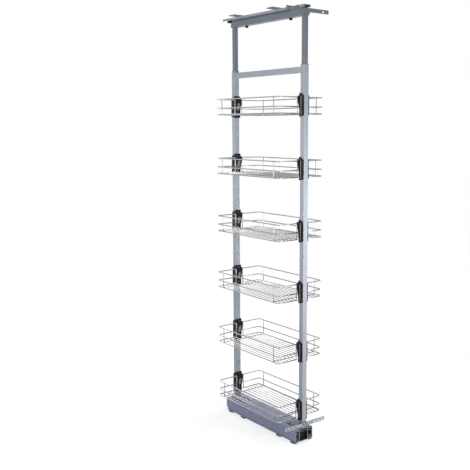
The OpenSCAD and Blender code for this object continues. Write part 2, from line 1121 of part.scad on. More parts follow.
module head_fixings() {
    knob_d = 14;
    knob_h = 9;
    nut_d = 10;
    nut_h = 3;
    screw_head_d = 9;
    screw_head_h = 3;
    color(BLACK) {
        head_bolt_places() {
            translate([0, 0, channel_z - knob_h])
                cylinder(d = knob_d, h = knob_h);
            translate([0, 0, channel_z - knob_h])
                cylinder(d = head_bolt_d, h = knob_h + channel_h + rail_t + nut_h);
            translate([0, 0, channel_top + rail_t])
                cylinder(d = nut_d, h = nut_h, $fn = 6);
        }
        translate([0, tongue_screw_y, channel_z - screw_head_h])
            cylinder(d = screw_head_d, h = screw_head_h);
        translate([0, tongue_screw_y, channel_z - screw_head_h])
            cylinder(d = tongue_screw_d, h = screw_head_h + channel_t + tongue_screw_in);
    }
}

module top_inner_rail() {
    color(DARK_STEEL)
        difference() {
            on_ceiling()
                slide_inner(top_slide);
            head_bolt_places()
                translate([0, 0, channel_top - 1])
                    cylinder(d = head_bolt_d + 2 * snug, h = rail_t + 2);
        }
}

module top_middle_rail() {
    color(DARK_STEEL)
        on_ceiling()
            slide_middle(top_slide);
}

module top_outer_cages() {
    color(ZINC)
        on_ceiling()
            slide_cage(top_slide, row_1(top_slide), ball_1_u(top_slide));
}

module top_inner_cages() {
    color(ZINC)
        on_ceiling()
            slide_cage(top_slide, row_2(top_slide), ball_2_u(top_slide));
}

rail_y0 = channel_y0 - rail_front_over;
rail_y1 = channel_y1 + rail_rear_over;

module ceiling_rail() {
    color(STEEL)
        on_ceiling()
            slide_outer(top_slide, rail_y0, rail_y1);
}

ceiling_hole_d = 5;
ceiling_hole_x = ceiling_w / 2 - 12;
ceiling_hole_y = ceiling_len / 2 - 11;

// plate under the cabinet top with four screw holes
module ceiling_plate(y) {
    color(DARK_STEEL)
        translate([0, y, rail_top])
            difference() {
                translate([-ceiling_w / 2, -ceiling_len / 2, 0])
                    cube([ceiling_w, ceiling_len, ceiling_t]);
                for (sx = [-1, 1], sy = [-1, 1])
                    translate([sx * ceiling_hole_x, sy * ceiling_hole_y, -1])
                        cylinder(d = ceiling_hole_d, h = ceiling_t + 2);
            }
}

module ceiling_plate_front() {
    ceiling_plate(-ceiling_front_y);
}

module ceiling_plate_rear() {
    ceiling_plate(ceiling_rear_y);
}

// rear stop inside the rail, and a round buffer on each side of the rail near its front end
module ceiling_stop() {
    stop_len = 24;
    stop_gap = 1;
    stop_h = 18;
    half = half_of(top_slide) - flange_t;
    buffer_d = 9;
    buffer_h = 3;
    buffer_in = 40;
    color(BLACK) {
        translate([-half, channel_y1 + stop_gap, rail_top - rail_t - stop_h])
            cube([2 * half, stop_len, stop_h]);
        for (x = [-half_of(top_slide) - buffer_h, half_of(top_slide)])
            translate([x, rail_y0 + buffer_in, rail_top - rail_side / 2])
                rod_x(buffer_d, buffer_h);
    }
}

floor_plate();
floor_pads();
base_beam();
beam_plug();
outer_rail_left();
outer_rail_right();
rear_bumpers();
middle_rail_left();
middle_rail_right();
outer_ball_cages();
inner_ball_cages();
inner_rail_left();
inner_rail_right();
runner_cover();
foot_front();
foot_rear();
upright_front();
upright_rear();
crossbar();
guide_bush_front();
guide_bush_rear();
lock_screws();
stop_pins();
lower_door_bracket();
carriage_screws();
front_place(1) holder();  // holder_1_front
rear_place(1) holder();  // holder_1_rear
front_place(2) holder();  // holder_2_front
rear_place(2) holder();  // holder_2_rear
front_place(3) holder();  // holder_3_front
rear_place(3) holder();  // holder_3_rear
front_place(4) holder();  // holder_4_front
rear_place(4) holder();  // holder_4_rear
front_place(5) holder();  // holder_5_front
rear_place(5) holder();  // holder_5_rear
front_place(6) holder();  // holder_6_front
rear_place(6) holder();  // holder_6_rear
holder_caps();
holder_screws();
basket(1);  // basket_1
basket(2);  // basket_2
basket(3);  // basket_3
basket(4);  // basket_4
basket(5);  // basket_5
basket(6);  // basket_6
inner_tube_front();
inner_tube_rear();
tube_glides();
head_channel();
upper_door_bracket();
head_fixings();
top_inner_rail();
top_middle_rail();
top_outer_cages();
top_inner_cages();
ceiling_rail();
ceiling_plate_front();
ceiling_plate_rear();
ceiling_stop();
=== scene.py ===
"""Looks of a pull-out pantry frame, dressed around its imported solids.

The solids keep their places. This script gives every surface its finish, swaps the plain wire baskets,
sheet parts, mouldings and fasteners for meshes with bends, welds, softened edges and drive recesses, and sets
up a pale studio with the camera.
"""

import json
import logging
import math
from abc import ABC, abstractmethod
from dataclasses import dataclass
from enum import Enum
from typing import Any, Iterable, Mapping

import bmesh
import bpy
from bmesh.types import BMEdge, BMesh, BMVert
from bpy.types import Material, Node, NodeSocket, NodeTree, Object
from mathutils import Matrix, Vector

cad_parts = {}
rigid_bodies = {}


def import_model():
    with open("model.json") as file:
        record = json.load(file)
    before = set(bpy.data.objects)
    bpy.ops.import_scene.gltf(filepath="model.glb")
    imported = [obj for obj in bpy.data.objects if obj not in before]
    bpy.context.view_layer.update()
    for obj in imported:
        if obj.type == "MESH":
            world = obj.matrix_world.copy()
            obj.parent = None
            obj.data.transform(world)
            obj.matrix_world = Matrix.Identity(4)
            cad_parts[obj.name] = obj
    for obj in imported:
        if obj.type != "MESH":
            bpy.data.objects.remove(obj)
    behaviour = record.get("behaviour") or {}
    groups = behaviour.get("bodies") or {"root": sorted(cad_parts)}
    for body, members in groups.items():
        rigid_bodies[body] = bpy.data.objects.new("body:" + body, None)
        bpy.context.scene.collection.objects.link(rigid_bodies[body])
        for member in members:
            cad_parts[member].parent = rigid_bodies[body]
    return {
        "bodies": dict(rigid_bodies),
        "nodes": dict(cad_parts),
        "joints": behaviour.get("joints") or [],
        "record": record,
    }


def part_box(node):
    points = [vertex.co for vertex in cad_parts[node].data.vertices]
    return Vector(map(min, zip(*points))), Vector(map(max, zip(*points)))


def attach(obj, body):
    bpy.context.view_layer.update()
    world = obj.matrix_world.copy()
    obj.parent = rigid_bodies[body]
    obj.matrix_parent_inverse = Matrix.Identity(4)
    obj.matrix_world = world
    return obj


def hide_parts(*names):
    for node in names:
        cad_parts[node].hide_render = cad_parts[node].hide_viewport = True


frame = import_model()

LOG = logging.getLogger("pantry_frame")
MM = 0.001
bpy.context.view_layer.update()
X_AXIS = Vector((1, 0, 0))
Y_AXIS = Vector((0, 1, 0))
Z_AXIS = Vector((0, 0, 1))
SIDES = (-1, 1)
BASKETS = range(1, 7)

Box = tuple[Vector, Vector]


def linear(code: str) -> tuple[float, float, float, float]:
    """Turns an sRGB hex colour into linear light.

    Args:
        code: Six hex digits, red first.

    Returns:
        Red, green, blue and an alpha of 1.
    """
    parts = [int(code[i:i + 2], 16) / 255 for i in (0, 2, 4)]
    light = [p / 12.92 if p <= 0.04045 else ((p + 0.055) / 1.055) ** 2.4 for p in parts]
    return (light[0], light[1], light[2], 1.0)


def add_node(
    tree: NodeTree,
    kind: str,
    settings: Mapping[Any, Any] | None = None,
    links: Mapping[Any, NodeSocket] | None = None,
) -> Node:
    """Adds one shader node with its settings and links.

    Args:
        tree: The node tree that takes the node.
        kind: The node's type name.
        settings: Values by input name, input number or attribute name.
        links: Output sockets by the input name or number that they feed.

    Returns:
        The new node.
    """
    node = tree.nodes.new(kind)
    for key, value in (settings or {}).items():
        if isinstance(key, int) or key in node.inputs:
            node.inputs[key].default_value = value
        else:
            setattr(node, key, value)
    for key, socket in (links or {}).items():
        tree.links.new(socket, node.inputs[key])
    return node


class Slot(Enum):
    """The record's material slots."""

    ZINC = "zinc_plated_steel"
    SILVER = "silver_powder_coat"
    BLUE_GREY = "blue_grey_powder_coat"
    DARK_GREY = "dark_grey_steel"
    BLACK_NYLON = "black_nylon"
    GREY_NYLON = "grey_nylon"
    RUBBER = "black_rubber"
    CHROME = "chromed_wire"


@dataclass(frozen=True)
class Finish(ABC):
    """A surface finish that makes its own material.

    Attributes:
        name: What the real material is called.
        colour: Its main colour.
        patch_colour: The colour of its clouds, films or rubbed patches.
        patch_mm: Size of those patches.
        roughness: Middle of its roughness.
        roughness_swing: How far the roughness goes to either side.
    """

    name: str
    colour: str
    patch_colour: str
    patch_mm: float
    roughness: float
    roughness_swing: float

    @abstractmethod
    def shade(self, tree: NodeTree, place: NodeSocket) -> Node:
        """Builds the finish.

        Args:
            tree: The material's node tree.
            place: The surface's own coordinates, in metres.

        Returns:
            The shader node that goes to the output.
        """

    def make(self) -> Material:
        """Makes a material with this finish.

        Returns:
            The new material.
        """
        material = bpy.data.materials.new(self.name)
        material.use_nodes = True
        tree = material.node_tree
        tree.nodes.clear()
        place = add_node(tree, "ShaderNodeTexCoord").outputs["Object"]
        shader = self.shade(tree, place)
        add_node(tree, "ShaderNodeOutputMaterial", links={"Surface": shader.outputs["BSDF"]})
        return material

    def patches(self, tree: NodeTree, place: NodeSocket) -> tuple[NodeSocket, NodeSocket]:
        """Mixes the two colours in soft patches.

        Args:
            tree: The material's node tree.
            place: The surface's own coordinates.

        Returns:
            The mixed colour, and the patches' own value from 0 to 1.
        """
        cloud = add_node(
            tree, "ShaderNodeTexNoise", {"Scale": 1 / (self.patch_mm * MM), "Detail": 3.0}, {"Vector": place}
        )
        colour = add_node(
            tree, "ShaderNodeMix",
            {"data_type": "RGBA", 6: linear(self.colour), 7: linear(self.patch_colour)},
            {0: cloud.outputs["Fac"]},
        )
        return colour.outputs[2], cloud.outputs["Fac"]

    def swing(self, tree: NodeTree, value: NodeSocket) -> NodeSocket:
        """Swings the roughness with a pattern.

        Args:
            tree: The material's node tree.
            value: The pattern, from 0 to 1.

        Returns:
            The roughness.
        """
        rough = add_node(
            tree, "ShaderNodeMapRange",
            {
                "To Min": self.roughness - self.roughness_swing,
                "To Max": self.roughness + self.roughness_swing,
            },
            {"Value": value},
        )
        return rough.outputs["Result"]


@dataclass(frozen=True)
class PowderCoat(Finish):
    """Baked powder coat on steel: an even satin skin with faint orange peel and slow clouding.

    Attributes:
        peel_mm: Width of the orange peel's bumps, drawn about four times as coarse as real so that it shows.
        peel_depth_mm: Height of those bumps.
        peel_strength: Share of that height that the light shows.
        metallic: How much of the pigment is metal flake.
    """

    patch_mm: float = 120
    roughness: float = 0.5
    roughness_swing: float = 0.06
    peel_mm: float = 2.4
    peel_depth_mm: float = 0.03
    peel_strength: float = 0.08
    metallic: float = 0.12

    def shade(self, tree: NodeTree, place: NodeSocket) -> Node:
        """Builds the coat: clouded colour, swinging roughness and orange peel.

        Args:
            tree: The material's node tree.
            place: The surface's own coordinates, in metres.

        Returns:
            The shader node.
        """
        colour, _ = self.patches(tree, place)
        peel = add_node(
            tree, "ShaderNodeTexNoise", {"Scale": 1 / (self.peel_mm * MM), "Detail": 1.0}, {"Vector": place}
        )
        bump = add_node(
            tree, "ShaderNodeBump", {"Strength": self.peel_strength, "Distance": self.peel_depth_mm * MM},
            {"Height": peel.outputs["Fac"]},
        )
        return add_node(
            tree, "ShaderNodeBsdfPrincipled", {"Metallic": self.metallic},
            {
                "Base Color": colour,
                "Roughness": self.swing(tree, peel.outputs["Fac"]),
                "Normal": bump.outputs["Normal"],
            },
        )


@dataclass(frozen=True)
class ZincPlate(Finish):
    """Bright zinc on rolled strip: pale metal with a faint clouding and fine rolling lines along Y.

    Attributes:
        line_mm: Spacing of the rolling lines, drawn coarser than real so that they show.
        stretch: How much longer than wide a rolling line is.
    """

    patch_mm: float = 35
    roughness: float = 0.36
    roughness_swing: float = 0.1
    line_mm: float = 1.5
    stretch: float = 60

    def shade(self, tree: NodeTree, place: NodeSocket) -> Node:
        """Builds the plating: clouded colour and roughness lines along the strip.

        Args:
            tree: The material's node tree.
            place: The surface's own coordinates, in metres.

        Returns:
            The shader node.
        """
        colour, _ = self.patches(tree, place)
        along = add_node(
            tree, "ShaderNodeMapping", {"Scale": (1.0, 1 / self.stretch, 1.0)}, {"Vector": place}
        )
        lines = add_node(
            tree, "ShaderNodeTexNoise", {"Scale": 1 / (self.line_mm * MM), "Detail": 2.0},
            {"Vector": along.outputs["Vector"]},
        )
        return add_node(
            tree, "ShaderNodeBsdfPrincipled", {"Metallic": 1.0},
            {"Base Color": colour, "Roughness": self.swing(tree, lines.outputs["Fac"])},
        )


@dataclass(frozen=True)
class ChromePlate(Finish):
    """Bright chrome on drawn steel wire: a mirror skin, a little cloudy where handling leaves a film."""

    patch_mm: float = 25
    roughness: float = 0.18
    roughness_swing: float = 0.08

    def shade(self, tree: NodeTree, place: NodeSocket) -> Node:
        """Builds the plating: a mirror with a faint film.

        Args:
            tree: The material's node tree.
            place: The surface's own coordinates, in metres.

        Returns:
            The shader node.
        """
        colour, film = self.patches(tree, place)
        return add_node(
            tree, "ShaderNodeBsdfPrincipled", {"Metallic": 1.0},
            {"Base Color": colour, "Roughness": self.swing(tree, film)},
        )


@dataclass(frozen=True)
class Moulding(Finish):
    """Moulded nylon or rubber: the fine spark-eroded grain of its tool, with slightly polished patches.

    Attributes:
        grain_mm: Width of the grain, drawn coarser than real so that it shows.
        grain_depth_mm: Depth of the grain.
        grain_strength: Share of that depth that the light shows.
        ior: Index of refraction, 1.53 for nylon.
        sheen: Strength of the reflection, 0.5 for a closed skin and less for an open, matt grain.
    """

    patch_mm: float = 18
    roughness: float = 0.5
    roughness_swing: float = 0.08
    grain_mm: float = 1.2
    grain_depth_mm: float = 0.05
    grain_strength: float = 0.4
    ior: float = 1.53
    sheen: float = 0.4

    def shade(self, tree: NodeTree, place: NodeSocket) -> Node:
        """Builds the moulding: grain in the bump, rubbed patches in colour and roughness.

        Args:
            tree: The material's node tree.
            place: The surface's own coordinates, in metres.

        Returns:
            The shader node.
        """
        colour, worn = self.patches(tree, place)
        grain = add_node(tree, "ShaderNodeTexVoronoi", {"Scale": 1 / (self.grain_mm * MM)}, {"Vector": place})
        bump = add_node(
            tree, "ShaderNodeBump", {"Strength": self.grain_strength, "Distance": self.grain_depth_mm * MM},
            {"Height": grain.outputs["Distance"]},
        )
        return add_node(
            tree, "ShaderNodeBsdfPrincipled", {"IOR": self.ior, "Specular IOR Level": self.sheen},
            {"Base Color": colour, "Roughness": self.swing(tree, worn), "Normal": bump.outputs["Normal"]},
        )


FINISHES: dict[Slot, Finish] = {
    # rolled strip with bright zinc: pale, slightly green-grey metal
    Slot.ZINC: ZincPlate("zinc_plated_strip", "ACB1AF", "9A9FA1"),
    # silver polyester powder with metal flake: pale grey with a breath of blue, satin
    Slot.SILVER: PowderCoat("silver_powder_coat", "AFB6BE", "A5ACB5"),
    # darker powder on the pressed runner cover: blue-grey, satin
    Slot.BLUE_GREY: PowderCoat("blue_grey_powder_coat", "8F97B4", "878FAC"),
    # slate-grey lacquer on drawn tube and pressings: darker and a little glossier
    Slot.DARK_GREY: PowderCoat("slate_grey_lacquer", "7D848D", "737A83", metallic=0.3, roughness=0.4),
    # glass-filled nylon, black: matt with a soft sheen on rubbed faces
    Slot.BLACK_NYLON: Moulding("black_moulded_nylon", "0C0D0E", "15171A", sheen=0.16),
    # unfilled nylon, grey
    Slot.GREY_NYLON: Moulding("grey_moulded_nylon", "85888E", "8F9298", roughness=0.42),
    # moulded rubber: blue-black, quite matt
    Slot.RUBBER: Moulding("black_moulded_rubber", "1C202B", "262B38", roughness=0.72, ior=1.52, sheen=0.2),
    # bright chrome on drawn wire, its colour written darker than bare chrome: painted shade standing in for
    # the dark surroundings that real wires mirror
    Slot.CHROME: ChromePlate("chrome_wire_with_painted_shade", "A9AAAA", "969798"),
}


def verts_of(edges: Iterable[BMEdge]) -> list[BMVert]:
    """Returns the vertices of some edges, each once and in order."""
    return list(dict.fromkeys(vert for edge in edges for vert in edge.verts))


def edges_of(verts: Iterable[BMVert]) -> list[BMEdge]:
    """Returns the edges that meet at some vertices, each once and in order."""
    return list(dict.fromkeys(edge for vert in verts for edge in vert.link_edges))


def grow_ring(shape: BMesh, ring: list[BMEdge]) -> tuple[list[BMVert], list[BMEdge]]:
    """Extrudes a ring of edges in place.

    Args:
        shape: The bmesh that holds the ring.
        ring: The ring's edges.

    Returns:
        The new ring's vertices and edges.
    """
    grown = bmesh.ops.extrude_edge_only(shape, edges=ring)["geom"]
    verts = [part for part in grown if isinstance(part, BMVert)]
    known = set(verts)
    edges = [part for part in grown if isinstance(part, BMEdge) and set(part.verts) <= known]
    return verts, edges


def round_edges(shape: BMesh, edges: list[BMEdge], width: float, segments: int, clamp: bool) -> None:
    """Rounds edges.

    Args:
        shape: The bmesh that holds the edges.
        edges: The edges.
        width: Width of the rounding, in metres.
        segments: Faces across it.
        clamp: Whether the rounding stops where it would meet another.
    """
    bmesh.ops.bevel(
        shape, geom=edges, offset=width, offset_type="OFFSET", segments=segments, profile=0.5,
        affect="EDGES", clamp_overlap=clamp, material=-1,
    )


@dataclass
class Wire:
    """One round wire formed inside a bmesh: runs are extruded, bends are spun and ends are domed.

    Attributes:
        shape: The bmesh that takes the wire.
        place: Middle of the wire's tip, in metres.
        heading: Unit direction in which the tip points.
        diameter: Wire diameter, in metres.
        sides: Flats around the wire.
        dome_rise: Height of an end's dome against the diameter.
        dome_flat: Width of the flat on that dome against the diameter.
        join_mm: Gap up to which the ends of a ring are joined.
    """

    shape: BMesh
    place: Vector
    heading: Vector
    diameter: float
    sides: int = 12
    dome_rise: float = 0.25
    dome_flat: float = 0.66
    join_mm: float = 0.02

    def __post_init__(self) -> None:
        """Lays the wire's first ring, square to its heading."""
        turn = self.heading.to_track_quat("Z", "Y").to_matrix().to_4x4()
        ring = bmesh.ops.create_circle(
            self.shape, segments=self.sides, radius=self.diameter / 2,
            matrix=Matrix.Translation(self.place) @ turn,
        )
        self._tip = edges_of(ring["verts"])
        self._tail = (self._tip, self.place.copy(), -self.heading)

    def run(self, length: float) -> "Wire":
        """Draws the wire straight on.

        Args:
            length: Length of the run, in metres.

        Returns:
            The wire itself.
        """
        verts, self._tip = grow_ring(self.shape, self._tip)
        step = self.heading * length
        bmesh.ops.translate(self.shape, verts=verts, vec=step)
        self.place = self.place + step
        return self

    def bend(self, axis: Vector, degrees: float, radius: float, steps: int = 6) -> "Wire":
        """Bends the wire about an axis.

        Args:
            axis: Unit axis, square to the heading; the wire turns towards axis x heading.
            degrees: Angle of the bend.
            radius: Radius of the bend at the wire's middle, in metres.
            steps: Rings in the bend.

        Returns:
            The wire itself.
        """
        centre = self.place + axis.cross(self.heading) * radius
        turned = bmesh.ops.spin(
            self.shape, geom=verts_of(self._tip) + self._tip, cent=centre, axis=axis, dvec=Vector(),
            angle=math.radians(degrees), steps=steps, use_merge=False, use_duplicate=False,
        )
        self._tip = [part for part in turned["geom_last"] if isinstance(part, BMEdge)]
        turn = Matrix.Rotation(math.radians(degrees), 3, axis)
        self.place = centre + turn @ (self.place - centre)
        self.heading = turn @ self.heading
        return self

    def bead(self, length: float, ripple: float, swell: float = 1.16) -> "Wire":
        """Draws a weld bead: a run whose rings swell and shrink.

        Args:
            length: Length of the run, in metres.
            ripple: Length of one ripple, in metres.
            swell: Width at a ripple's crest against the wire.

        Returns:
            The wire itself.
        """
        half_steps = 2 * max(1, round(length / ripple))
        for index in range(half_steps):
            self.run(length / half_steps)
            size = swell if index % 2 == 0 else 1 / swell
            bmesh.ops.scale(
                self.shape, verts=verts_of(self._tip), vec=(size,) * 3,
                space=Matrix.Translation(-self.place),
            )
        return self

    def close(self) -> None:
        """Joins the tip to the tail of a ring."""
        ends = verts_of(self._tip + self._tail[0])
        bmesh.ops.remove_doubles(self.shape, verts=ends, dist=self.join_mm * MM)

    def dome(self) -> None:
        """Closes both ends with a low dome, as a cropped and tumbled wire has."""
        rise = self.dome_rise * self.diameter
        for ring, place, outward in ((self._tip, self.place, self.heading), self._tail):
            verts, edges = grow_ring(self.shape, ring)
            bmesh.ops.scale(
                self.shape, verts=verts, vec=(self.dome_flat,) * 3, space=Matrix.Translation(-place)
            )
            bmesh.ops.translate(self.shape, verts=verts, vec=outward * rise)
            bmesh.ops.edgeloop_fill(self.shape, edges=edges)


class Workshop:
    """Makes finished pieces and keeps one material for each finish.

    Attributes:
        FLAT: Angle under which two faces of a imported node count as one.
        SHARP: Angle over which an edge is softened.
        MERGE_MM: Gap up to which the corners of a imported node's triangles are one.
        nodes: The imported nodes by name.
        body_of: Body of each node.
        slot_of: Finish of each node.
    """

    FLAT = math.radians(0.4)
    SHARP = math.radians(28)
    MERGE_MM = 0.002

    def __init__(self, loaded: Mapping[str, Any]) -> None:
        """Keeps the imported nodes, their bodies and their slots.

        Args:
            loaded: What the frame gave when it was loaded.
        """
        record = loaded["record"]
        self.nodes: dict[str, Object] = loaded["nodes"]
        self.body_of: dict[str, str] = {
            node: body for body, members in record["behaviour"]["bodies"].items() for node in members
        }
        self.slot_of: dict[str, Slot] = {
            entry["node"]: Slot(entry["material_slot"]) for entry in record["subparts"]
        }
        self._materials: dict[Slot, Material] = {}

    def material(self, slot: Slot) -> Material:
        """Gives the one material of a slot, made when first asked for.

        Args:
            slot: The slot.

        Returns:
            Its material.
        """
        if slot not in self._materials:
            self._materials[slot] = FINISHES[slot].make()
        return self._materials[slot]

    def dress(self, *nodes: str) -> None:
        """Puts their slots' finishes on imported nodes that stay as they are.

        Args:
            *nodes: The nodes.
        """
        for node in nodes:
            materials = self.nodes[node].data.materials
            materials.clear()
            materials.append(self.material(self.slot_of[node]))
            LOG.info("dressed %s in %s", node, self.slot_of[node].value)

    def copy_of(self, node: str) -> BMesh:
        """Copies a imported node's mesh and merges its corners.

        Args:
            node: The node.

        Returns:
            The copy.
        """
        shape = bmesh.new()
        shape.from_mesh(self.nodes[node].data)
        bmesh.ops.remove_doubles(shape, verts=shape.verts[:], dist=self.MERGE_MM * MM)
        return shape

    def solids_of(self, node: str) -> list[Box]:
        """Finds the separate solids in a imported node.

        Args:
            node: The node.

        Returns:
            The lowest and highest corner of each solid.
        """
        shape = self.copy_of(node)
        seen: set[BMVert] = set()
        boxes: list[Box] = []
        for first in shape.verts:
            if first in seen:
                continue
            reached = [first]
            seen.add(first)
            for vert in reached:
                fresh = [edge.other_vert(vert) for edge in vert.link_edges]
                fresh = [other for other in fresh if other not in seen]
                seen.update(fresh)
                reached.extend(fresh)
            low = Vector(min(vert.co[i] for vert in reached) for i in range(3))
            high = Vector(max(vert.co[i] for vert in reached) for i in range(3))
            boxes.append((low, high))
        shape.free()
        return boxes

    def finish_piece(
        self, name: str, shape: BMesh, slot: Slot, body: str, replaces: Iterable[str] = (), even: bool = False
    ) -> None:
        """Makes a piece of a modelled shape, dresses it and lets it ride on its body.

        Args:
            name: The piece's name.
            shape: Its bmesh, which is used up.
            slot: Its finish.
            body: The body that it moves with.
            replaces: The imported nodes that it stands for.
            even: Whether flat faces keep even shading beside their softened edges.
        """
        for face in shape.faces:
            face.smooth = True
        mesh = bpy.data.meshes.new(name)
        shape.to_mesh(mesh)
        shape.free()
        mesh.materials.append(self.material(slot))
        piece = bpy.data.objects.new(name, mesh)
        bpy.context.scene.collection.objects.link(piece)
        if even:
            piece.modifiers.new("even_normals", "WEIGHTED_NORMAL")
        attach(piece, body)
        if replaces:
            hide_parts(*replaces)
        LOG.info("made %s: %d faces, rides on %s", name, len(mesh.polygons), body)

    def soften(self, edge_mm: float, *nodes: str, segments: int = 2) -> None:
        """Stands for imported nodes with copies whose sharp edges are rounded.

        Args:
            edge_mm: Width of the rounded edge.
            *nodes: The nodes.
            segments: Faces across the rounded edge.
        """
        for node in nodes:
            shape = self.copy_of(node)
            bmesh.ops.dissolve_limit(
                shape, angle_limit=self.FLAT, verts=shape.verts[:], edges=shape.edges[:]
            )
            sharp = [e for e in shape.edges if e.is_manifold and e.calc_face_angle(0.0) > self.SHARP]
            round_edges(shape, sharp, edge_mm * MM, segments, clamp=False)
            self.finish_piece(
                f"{node}_finished", shape, self.slot_of[node], self.body_of[node], (node,), even=True
            )


@dataclass
class Screw:
    """A screw, nut or knob modelled about the origin, head up, and then set in its place.

    Attributes:
        top: Middle of the head's top, in metres.
        outward: Unit direction from the shank to the head.
        head_d: Head diameter, in metres.
        shank_d: Shank diameter, in metres.
        grid: Squares along each side of the plate that holds the cross recess.
        recess_share: Side of that plate against the head's diameter.
        recess_depth: Depth of the recess, in metres.
        recess_draft: Lean of the recess's walls against half a square.
        nut_edge: Rounded edge of a nut, in metres.
        knob_edge: Rounded edge of a knob, in metres.
    """

    top: Vector
    outward: Vector
    head_d: float
    shank_d: float
    grid: int = 5
    recess_share: float = 0.62
    recess_depth: float = 1.6 * MM
    recess_draft: float = 0.12
    nut_edge: float = 0.5 * MM
    knob_edge: float = 0.9 * MM

    def __post_init__(self) -> None:
        """Starts with an empty shape."""
        self.shape = bmesh.new()

    def add_to(self, target: BMesh) -> None:
        """Sets the finished shape in its place in a larger one.

        Args:
            target: The larger shape.
        """
        bmesh.ops.recalc_face_normals(self.shape, faces=self.shape.faces[:])
        turn = self.outward.to_track_quat("Z", "Y").to_matrix().to_4x4()
        self.shape.transform(Matrix.Translation(self.top) @ turn)
        mesh = bpy.data.meshes.new("screw")
        self.shape.to_mesh(mesh)
        self.shape.free()
        target.from_mesh(mesh)
        bpy.data.meshes.remove(mesh)

    def _ring_down(self, ring: list[BMEdge], drop: float, radius: float, new_radius: float) -> list[BMEdge]:
        """Extrudes a ring downwards and to another radius.

        Args:
            ring: The ring's edges.
            drop: How far it goes down.
            radius: Its radius.
            new_radius: The new ring's radius.

        Returns:
            The new ring's edges.
        """
        verts, edges = grow_ring(self.shape, ring)
        share = new_radius / radius
        bmesh.ops.scale(self.shape, verts=verts, vec=(share, share, 1))
        bmesh.ops.translate(self.shape, verts=verts, vec=(0, 0, -drop))
        return edges

    def head(self, rim_h: float, under_h: float, length: float, dome_h: float = 0.0) -> "Screw":
        """Models the head with its recess, the underside and the shank.

        Args:
            rim_h: Height of the head's straight rim.
            under_h: Height of the cone under it, 0 for a flat underside.
            length: Length of the whole screw.
            dome_h: How much lower the rim's edge lies than the head's top.

        Returns:
            The screw itself.
        """
        half = self.recess_share * self.head_d / 2
        radius = self.head_d / 2
        plate = bmesh.ops.create_grid(
            self.shape, x_segments=self.grid, y_segments=self.grid, size=half
        )["verts"]
        half_square = half / self.grid
        cross = []
        for face in dict.fromkeys(face for vert in plate for face in vert.link_faces):
            near, far = sorted(abs(value) for value in face.calc_center_median()[:2])
            # the middle square and its four neighbours
            if near < half_square and far < 3 * half_square:
                cross.append(face)
        border = [edge for edge in edges_of(plate) if edge.is_boundary]
        bmesh.ops.inset_region(
            self.shape, faces=cross, thickness=self.recess_draft * half_square, depth=-self.recess_depth
        )
        circle = bmesh.ops.create_circle(
            self.shape, segments=len(border), radius=radius, matrix=Matrix.Translation((0, 0, -dome_h))
        )["verts"]
        ring = edges_of(circle)
        bmesh.ops.bridge_loops(self.shape, edges=border + ring)
        if rim_h > 0:
            ring = self._ring_down(ring, rim_h, radius, radius)
        ring = self._ring_down(ring, under_h, radius, self.shank_d / 2)
        rest = length - dome_h - rim_h - under_h
        ring = self._ring_down(ring, rest, self.shank_d / 2, self.shank_d / 2)
        bmesh.ops.edgeloop_fill(self.shape, edges=ring)
        return self

    def nut(self, depth: float, height: float, width: float) -> "Screw":
        """Adds a hexagon nut on the shank.

        Args:
            depth: How far its upper face lies below the head's top.
            height: Its height.
            width: Its width across corners.

        Returns:
            The screw itself.
        """
        made = bmesh.ops.create_cone(
            self.shape, cap_ends=True, segments=6, radius1=width / 2, radius2=width / 2, depth=height,
            matrix=Matrix.Translation((0, 0, -depth - height / 2)),
        )["verts"]
        round_edges(self.shape, edges_of(made), self.nut_edge, segments=2, clamp=True)
        return self

    def knob(self, height: float, flutes: int = 12, hollow: float = 0.88) -> "Screw":
        """Models a fluted knob instead of a head.

        Args:
            height: Its height.
            flutes: Hollows around its side.
            hollow: Radius at the bottom of a hollow against the knob's own.

        Returns:
            The knob itself.
        """
        radius = self.head_d / 2
        # two points on the crest and one in the hollow
        points = 3 * flutes
        made = bmesh.ops.create_cone(
            self.shape, cap_ends=True, segments=points, radius1=radius, radius2=radius, depth=height,
            matrix=Matrix.Translation((0, 0, -height / 2)),
        )["verts"]
        step = 2 * math.pi / points
        hollows = [v for v in made if round(math.atan2(v.co.y, v.co.x) / step) % 3 == 0]
        bmesh.ops.scale(self.shape, verts=hollows, vec=(hollow, hollow, 1))
        rims = [e for e in self.shape.edges if abs(e.verts[0].co.z - e.verts[1].co.z) < height / 2]
        round_edges(self.shape, rims, self.knob_edge, segments=3, clamp=True)
        return self


class Assembly(ABC):
    """A sub-assembly that builds its own pieces."""

    @abstractmethod
    def build(self, shop: Workshop) -> None:
        """Builds the sub-assembly's pieces.

        Args:
            shop: The workshop that finishes them.
        """


